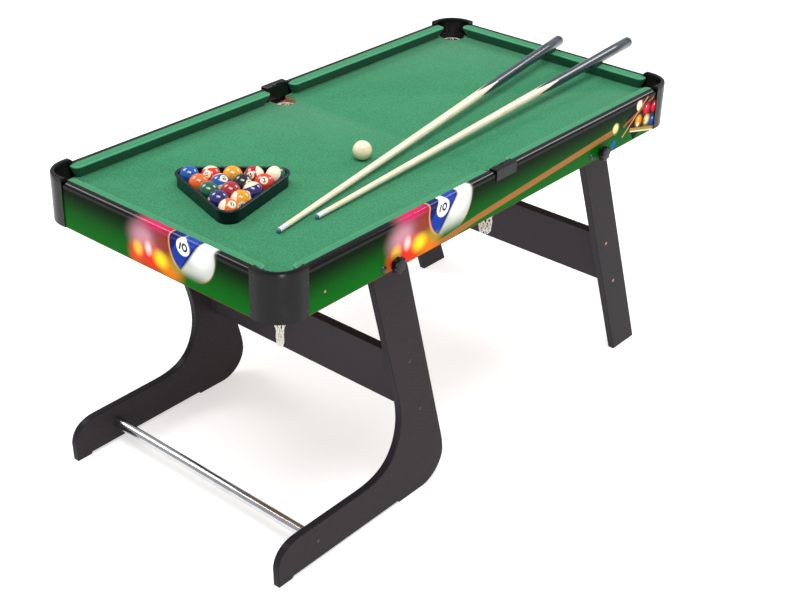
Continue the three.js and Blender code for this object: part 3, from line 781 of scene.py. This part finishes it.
def ball_look(number, colour, striped):
    """Polished resin. The stripe or whole colour, and the white number patches, are cast in."""
    look = Look(f"ball_resin_{number:02d}", **RESIN)
    place = look.stretch(look.place(), (1000 / BALL_RADIUS,) * 3)
    x, y, _ = look.split(place)
    cream, paint = tint(*CREAM), tint(*BALL_COLOURS[colour])
    swirl = look.noise(place, 1.6, 3)
    deeper = tint(*(c * 0.86 for c in BALL_COLOURS[colour]))
    base = look.mix(look.fade(swirl, 0.35, 0.7, 0.0, 0.8), paint, deeper)
    if striped:
        base = look.mix(look.fade(look.math("ABSOLUTE", x), 0.60, 0.57), cream, base)
    from_pole = look.node("VectorMath", look.join(x, y), operation="LENGTH").outputs[1]
    base = look.mix(look.fade(from_pole, 0.40, 0.38), base, cream)
    look.set("Base Color", base)
    look.set("Roughness", look.fade(swirl, 0.3, 0.7, 0.05, 0.1))
    return look.material


def digits_mesh(number):
    """The number's strokes as a fine flat mesh, centred, one unit being the text's own height."""
    text = bpy.data.curves.new("digits", "FONT")
    text.body = str(number)
    text.align_x, text.align_y = "CENTER", "CENTER"
    text.offset = 0.035
    text.resolution_u = 4
    carrier = bpy.data.objects.new("digits", text)
    bpy.context.scene.collection.objects.link(carrier)
    bpy.context.view_layer.update()
    mesh = bpy.data.meshes.new_from_object(carrier.evaluated_get(bpy.context.evaluated_depsgraph_get()))
    bpy.data.objects.remove(carrier)
    work = bmesh.new()
    work.from_mesh(mesh)
    bmesh.ops.remove_doubles(work, verts=work.verts, dist=1e-5)
    bmesh.ops.triangulate(work, faces=work.faces)
    for _ in range(2):
        long_edges = [e for e in work.edges if e.calc_length() > 0.12]
        bmesh.ops.subdivide_edges(work, edges=long_edges, cuts=1)
        bmesh.ops.triangulate(work, faces=work.faces)
    points = [v.co.copy() for v in work.verts]
    middle = Vector([(min(p[i] for p in points) + max(p[i] for p in points)) / 2 for i in range(3)])
    work.verts.index_update()
    faces = [[v.index for v in f.verts] for f in work.faces]
    work.free()
    return [p - middle for p in points], faces


def wrapped_digits(number, pole):
    """The number's mesh laid on the ball at one pole, just proud of the surface."""
    size = 13.0 if number < 10 else 10.0
    points, faces = digits_mesh(number)
    laid = []
    for p in points:
        x, y = p.x * size, p.y * size
        lift = math.sqrt(BALL_RADIUS ** 2 - x * x - y * y)
        spot = Vector((x, y * pole, lift * pole)).normalized() * (BALL_RADIUS + INK_LIFT) * MM
        laid.append(spot)
    return laid, faces


def ball(name, node, x, y, material, ink=None, number=None, turn=None):
    """A ball with its number on two opposite sides. The ball's own Z passes through both numbers."""
    work = bmesh.new()
    bmesh.ops.create_icosphere(work, subdivisions=5, radius=BALL_RADIUS * MM)
    vertices = [v.co.copy() for v in work.verts]
    faces = [[v.index for v in f.verts] for f in work.faces]
    work.free()
    plain = len(faces)
    if number is not None:
        for pole in (1, -1):
            first = len(vertices)
            points, marks = wrapped_digits(number, pole)
            vertices += points
            faces += [[first + i for i in face] for face in marks]
    piece = make_piece(name, vertices, faces, material, *([ink] if ink else []))
    for polygon in piece.data.polygons[plain:]:
        polygon.material_index = 1
    piece.location = at(x, y, BALL_HEIGHT)
    if turn is not None:
        piece.rotation_euler = turn.to_euler()
    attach(piece, node + "_body")
    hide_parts(node)


def ball_turn(number_way, cap_way):
    """A rotation that takes the ball's Z to its number and its X to its white cap."""
    z = seen_direction(number_way)
    guide = seen_direction(cap_way) if cap_way else CAMERA_TURN.to_matrix() @ Vector((1, 0.25, 0))
    x = (guide - z * guide.dot(z)).normalized()
    return Matrix((x, z.cross(x), z)).transposed()


def all_balls():
    ink = plastic_look("number_ink", (18, 18, 20), 0.2)
    cos, sin = math.cos(RACK_TURN), math.sin(RACK_TURN)
    for row, balls in enumerate(RACK_ROWS):
        for index, (number, colour, number_way, cap_way) in enumerate(balls):
            away = (row - MEAN_ROW) * BALL_SPACING * math.sqrt(3) / 2
            across = (row / 2 - index) * BALL_SPACING
            x = RACK_CENTRE[0] + away * cos - across * sin
            y = RACK_CENTRE[1] + away * sin + across * cos
            resin = ball_look(number, colour, number > 8)
            ball(f"numbered_ball_{number:02d}", f"ball_{number:02d}", x, y, resin,
                 ink, number, ball_turn(number_way, cap_way))
    look = Look("cue_ball_resin", **RESIN)
    cloudy = look.noise(look.place(), 60, 3)
    look.set("Base Color", look.ramp(cloudy, (0.3, tint(246, 232, 196)), (0.7, tint(236, 219, 178))))
    look.set("Roughness", look.fade(cloudy, 0.3, 0.7, 0.06, 0.11))
    ball("plain_cue_ball", "cue_ball", *CUE_BALL_PLACE, look.material)


# ------------------------------------------------------------------ cues

TIP_LENGTH, FERRULE_END, SPLICE_START, BUTT_CAP = 5, 27, 795, 18


def cue_look():
    """Pale lacquered shaft, white ferrule, blue leather tip and a dark butt with pointed splices."""
    look = Look("cue_finish", Coat_Weight=0.5, Coat_Roughness=0.08)
    place = look.place()
    x, y, z = look.split(place)
    grain = look.noise(look.stretch(place, (1.0, 22.0, 22.0)), 22, 4, 0.6)
    shaft = look.ramp(grain, (0.3, tint(214, 196, 158)), (0.5, tint(238, 226, 194)),
                      (0.75, tint(246, 238, 214)))
    angle = look.math("ARCTAN2", y, z)
    points = look.math("PINGPONG", look.math("ADD", angle, math.pi), math.pi / 4)
    reach = look.math("MULTIPLY", points, 0.12)
    along = look.math("SUBTRACT", x, reach)
    butt = look.ramp(grain, (0.3, tint(18, 30, 38)), (0.7, tint(38, 56, 68)))
    veneer = look.fade(along, (SPLICE_START - 12) * MM, (SPLICE_START - 11) * MM)
    dark = look.fade(along, (SPLICE_START - 7) * MM, (SPLICE_START - 6) * MM)
    base = look.mix(veneer, shaft, tint(232, 226, 206))
    base = look.mix(dark, base, butt)
    cap = look.fade(x, (CUE_LENGTH - BUTT_CAP) * MM, (CUE_LENGTH - BUTT_CAP + 1) * MM)
    ferrule = look.fade(x, (FERRULE_END + 0.5) * MM, FERRULE_END * MM)
    pad = look.fade(x, (TIP_LENGTH + 0.2) * MM, (TIP_LENGTH - 0.2) * MM)
    leather = look.fade(x, 3.4 * MM, 2.2 * MM)
    for part, colour in ((cap, (14, 15, 17)), (ferrule, (226, 230, 228)), (pad, (112, 78, 54)),
                         (leather, (54, 122, 148))):
        base = look.mix(part, base, tint(*colour))
    look.set("Base Color", base)
    look.set("Roughness", look.fade(x, 4 * MM, 6 * MM, 0.8, 0.28))
    look.bump(grain, 0.06, 0.0002)
    return look.material


def cue(name, node, tip_x, tip_y, heading, material):
    """A turned cue: domed tip, ferrule, taper, and a soft bumper at the butt."""
    taper = (CUE_BUTT_RADIUS - CUE_TIP_RADIUS) / CUE_LENGTH

    def body_radius(x):
        return CUE_TIP_RADIUS + taper * x

    profile = [(0.0, 0.15), (1.8, 0.3), (3.4, 0.9), (4.5, 1.8), (5.0, 3.0), (5.2, 5.0), (5.35, 5.2)]
    stations = (6, 12, FERRULE_END, 27.4, 60, 120, 240, 400, 560, 700, 760, 860, 960, 1060, 1140,
                CUE_LENGTH - BUTT_CAP)
    profile += [(body_radius(x) - 0.05, x) for x in stations]
    butt, end = CUE_BUTT_RADIUS, CUE_LENGTH
    profile += [(butt - 0.6, end - BUTT_CAP + 0.6), (butt - 0.5, end - 5), (butt - 2.2, end - 1.4),
                (butt - 6, end - 0.3), (0.0, end)]
    piece = lathe(name, profile, 40, material)
    lay_along = Matrix.Rotation(math.pi / 2, 4, "Y")
    piece.data.transform(lay_along)
    split_sharp(piece, 45)
    rail_run = (HALF_LENGTH - APRON_THICKNESS - tip_x) / math.cos(heading)
    tilt = math.atan2(RAIL_TOP - BED_TOP, rail_run) + math.atan2(CUE_BUTT_RADIUS - CUE_TIP_RADIUS, CUE_LENGTH)
    piece.matrix_world = (Matrix.Translation(at(tip_x, tip_y, BED_TOP + CUE_GAP + CUE_TIP_RADIUS))
                          @ Matrix.Rotation(heading, 4, "Z") @ Matrix.Rotation(-tilt, 4, "Y"))
    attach(piece, node + "_body")
    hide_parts(node)


# ------------------------------------------------------------------ screws

FLANGE_FACE = 2.5                              # how far a cap's flange stands out from the table
FLANGE_SCREW_IN = 70.5                         # from the table's outside to the screws in a flange
CURVED_LEG_SCREWS = ((-285, 362), (-244, 221), (-568, 53))     # along the table, and height
STRAIGHT_LEG_SCREWS = ((475, 350), (529, 223))


def screw_mesh(radius, height):
    """A domed head with a cross cut into it, standing along +Z. Returns points and faces."""
    segments, rings = 32, [0.0, 0.14, 0.28, 0.42, 0.52, 0.7, 0.88, 1.0]
    points = []
    for share in rings:
        for i in range(segments):
            angle = 2 * math.pi * i / segments
            x, y = share * radius * math.cos(angle), share * radius * math.sin(angle)
            z = height * math.sqrt(max(0.0, 1 - 0.92 * share * share))
            in_cross = share < 0.5 and min(abs(x), abs(y)) < 0.1 * radius
            points.append(Vector((x, y, z * (0.45 if in_cross else 1.0))) * MM)
    points += [Vector((p.x, p.y, 0)) for p in points[-segments:]]
    return points, rings_to_faces(len(rings) + 1, segments)


def screws(name, body, places, radius, height, material):
    """Screw heads as one piece. Each place is (x, y, z, outward direction), in millimetres."""
    points, faces = screw_mesh(radius, height)
    chance = random.Random(11)
    vertices, all_faces = [], []
    for x, y, z, way in places:
        turn = Vector(way).to_track_quat("Z", "Y") @ Euler((0, 0, chance.uniform(0, 1.5))).to_quaternion()
        first = len(vertices)
        vertices += [at(x, y, z) + turn @ p for p in points]
        all_faces += [[first + i for i in face] for face in faces]
    piece = make_piece(name, vertices, all_faces, material)
    split_sharp(piece, 40)
    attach(piece, body)


def four_ways(x, y, z, way):
    """The same screw on all four corners of the table."""
    return [(sx * x, sy * y, z, (sx * way[0], sy * way[1], way[2])) for sx in (-1, 1) for sy in (-1, 1)]


def near_and_far(x, y, z, way):
    return [(x, y, z, way), (x, -y, z, (way[0], -way[1], way[2]))]


def leg_screws(places):
    """The same screws on the outside of the near and the far leg."""
    return [spot for x, z in places for spot in near_and_far(x, -LEG_OUTER_Y, z, (0, -1, 0))]


def all_screws(steel, copper):
    cap_x, cap_y = HALF_LENGTH + FLANGE_FACE, HALF_WIDTH + FLANGE_FACE
    flange = []
    for z in (697, 636):
        flange += four_ways(HALF_LENGTH - FLANGE_SCREW_IN, cap_y, z, (0, 1, 0))
        flange += four_ways(cap_x, HALF_WIDTH - FLANGE_SCREW_IN, z, (1, 0, 0))
    screws("cap_screws", "table_top", flange, 2.1, 0.8, steel)
    middle = near_and_far(-28, -cap_y, 708, (0, -1, 0)) + near_and_far(28, -cap_y, 708, (0, -1, 0))
    screws("middle_cap_screws", "table_top", middle, 1.9, 0.7, steel)
    screws("apron_screws", "table_top", four_ways(565, HALF_WIDTH, 655, (0, 1, 0)), 3.0, 1.1, copper)
    screws("curved_leg_screws", "j_frame", leg_screws(CURVED_LEG_SCREWS), 4.2, 0.9, steel)
    screws("straight_leg_screws", "straight_frame", leg_screws(STRAIGHT_LEG_SCREWS), 4.0, 0.9, copper)


# ------------------------------------------------------------------ stage


def make_floor():
    reach = 40                                 # metres, so that low views meet no edge
    corners = [(-reach, -reach, 0), (reach, -reach, 0), (reach, reach, 0), (-reach, reach, 0)]
    floor = make_piece("floor", corners, [(0, 1, 2, 3)])
    look = Look("pale_floor", Roughness=0.8, Specular_IOR_Level=0.1, Emission_Strength=0.55)
    look.set("Base Color", tint(222, 222, 222))
    look.set("Emission Color", tint(255, 255, 255))
    floor.data.materials.append(look.material)
    floor.location.z = -0.0004


def area_light(name, place, size, power, aim=(0, 0, 0.5)):
    data = bpy.data.lights.new(name, "AREA")
    data.shape = "RECTANGLE"
    data.size, data.size_y = size
    data.energy = power
    light = bpy.data.objects.new(name, data)
    light.location = place
    light.rotation_euler = (Vector(aim) - Vector(place)).to_track_quat("-Z", "Y").to_euler()
    bpy.context.scene.collection.objects.link(light)


def make_world():
    world = bpy.data.worlds.new("studio")
    world.use_nodes = True
    background = world.node_tree.nodes["Background"]
    background.inputs["Color"].default_value = (1, 1, 1, 1)
    background.inputs["Strength"].default_value = 0.5
    bpy.context.scene.world = world
    bpy.context.scene.view_settings.view_transform = "Standard"


def sun(strength, softness, aim_from):
    data = bpy.data.lights.new("overhead", "SUN")
    data.energy = strength
    data.angle = math.radians(softness)
    light = bpy.data.objects.new("overhead", data)
    light.rotation_euler = Vector(aim_from).to_track_quat("Z", "Y").to_euler()
    bpy.context.scene.collection.objects.link(light)


def make_stage():
    make_floor()
    make_world()
    sun(1.1, 26, (-0.35, -0.15, 1.0))
    area_light("key", (-1.0, -1.2, 3.2), (0.9, 0.9), 30)
    area_light("long_edge_gloss", (2.7, -0.7, 2.9), (1.3, 1.3), 42)
    area_light("end_gloss", (-0.9, 2.2, 2.9), (1.3, 1.3), 36)
    area_light("low_streak", (-2.4, -2.7, 0.3), (0.3, 0.7), 22, aim=(-0.75, -0.35, 0.67))


# ------------------------------------------------------------------ everything on the table


def dress_cad_nodes(black, steel):
    board, laminate, panel = board_look(), laminate_look(), panel_look()
    for node in ("bed_board", "bed_batten_left", "bed_batten_right"):
        finish_cad_node(node, board, 0.5)
    for side, sign in (("near", 1), ("far", -1)):
        film = printed_film(f"printed_film_{side}", 0, sign, TABLE_MIDDLE_X * MM, -186, 1.0, True,
                            side == "near")
        finish_cad_node(f"apron_{side}", film)
    for hand, sign in LEFT_RIGHT:
        film = printed_film(f"printed_film_{hand}", 1, sign, 0.0, 116, 0.92, False, hand == "left")
        finish_cad_node(f"apron_{hand}", film)
    for side, _ in NEAR_FAR:
        for hand, _ in LEFT_RIGHT:
            finish_cad_node(f"corner_cap_{hand}_{side}", black)
        finish_cad_node(f"middle_cap_{side}", black)
        for frame_name in ("j", "straight"):
            finish_cad_node(f"{frame_name}_leg_{side}", laminate)
            finish_cad_node(f"knob_{frame_name}_{side}", black, 0.5)
            finish_cad_node(f"pivot_bolt_{frame_name}_{side}", steel)
    for frame_name in ("j", "straight"):
        finish_cad_node(f"{frame_name}_cross_panel", panel)
    finish_cad_node("foot_bar", metal_look("chrome_tube_detail", (206, 207, 210), 0.16, (1.0, 0.05, 1.0)))
    finish_cad_node("rack", plastic_look("rack_moulding", (15, 27, 32), 0.22), 0.4)


STEEL = metal_look("dark_plating", (70, 70, 74), 0.35)
COPPER = metal_look("copper_plating", (196, 140, 108), 0.3)
BLACK = plastic_look("black_moulding", (15, 13, 15), 0.26)
GREEN = bed_cloth_look((57, 128, 91))
CUE_FINISH = cue_look()

make_stage()
dress_cad_nodes(BLACK, STEEL)
playing_cloth(GREEN)
all_cushions(cushion_cloth_look())
all_nets(net_look())
all_balls()
cue("turned_cue_1", "cue_1", -506.6, -167, math.radians(7.95), CUE_FINISH)
cue("turned_cue_2", "cue_2", -411, -180, math.radians(1.9), CUE_FINISH)
all_screws(STEEL, COPPER)
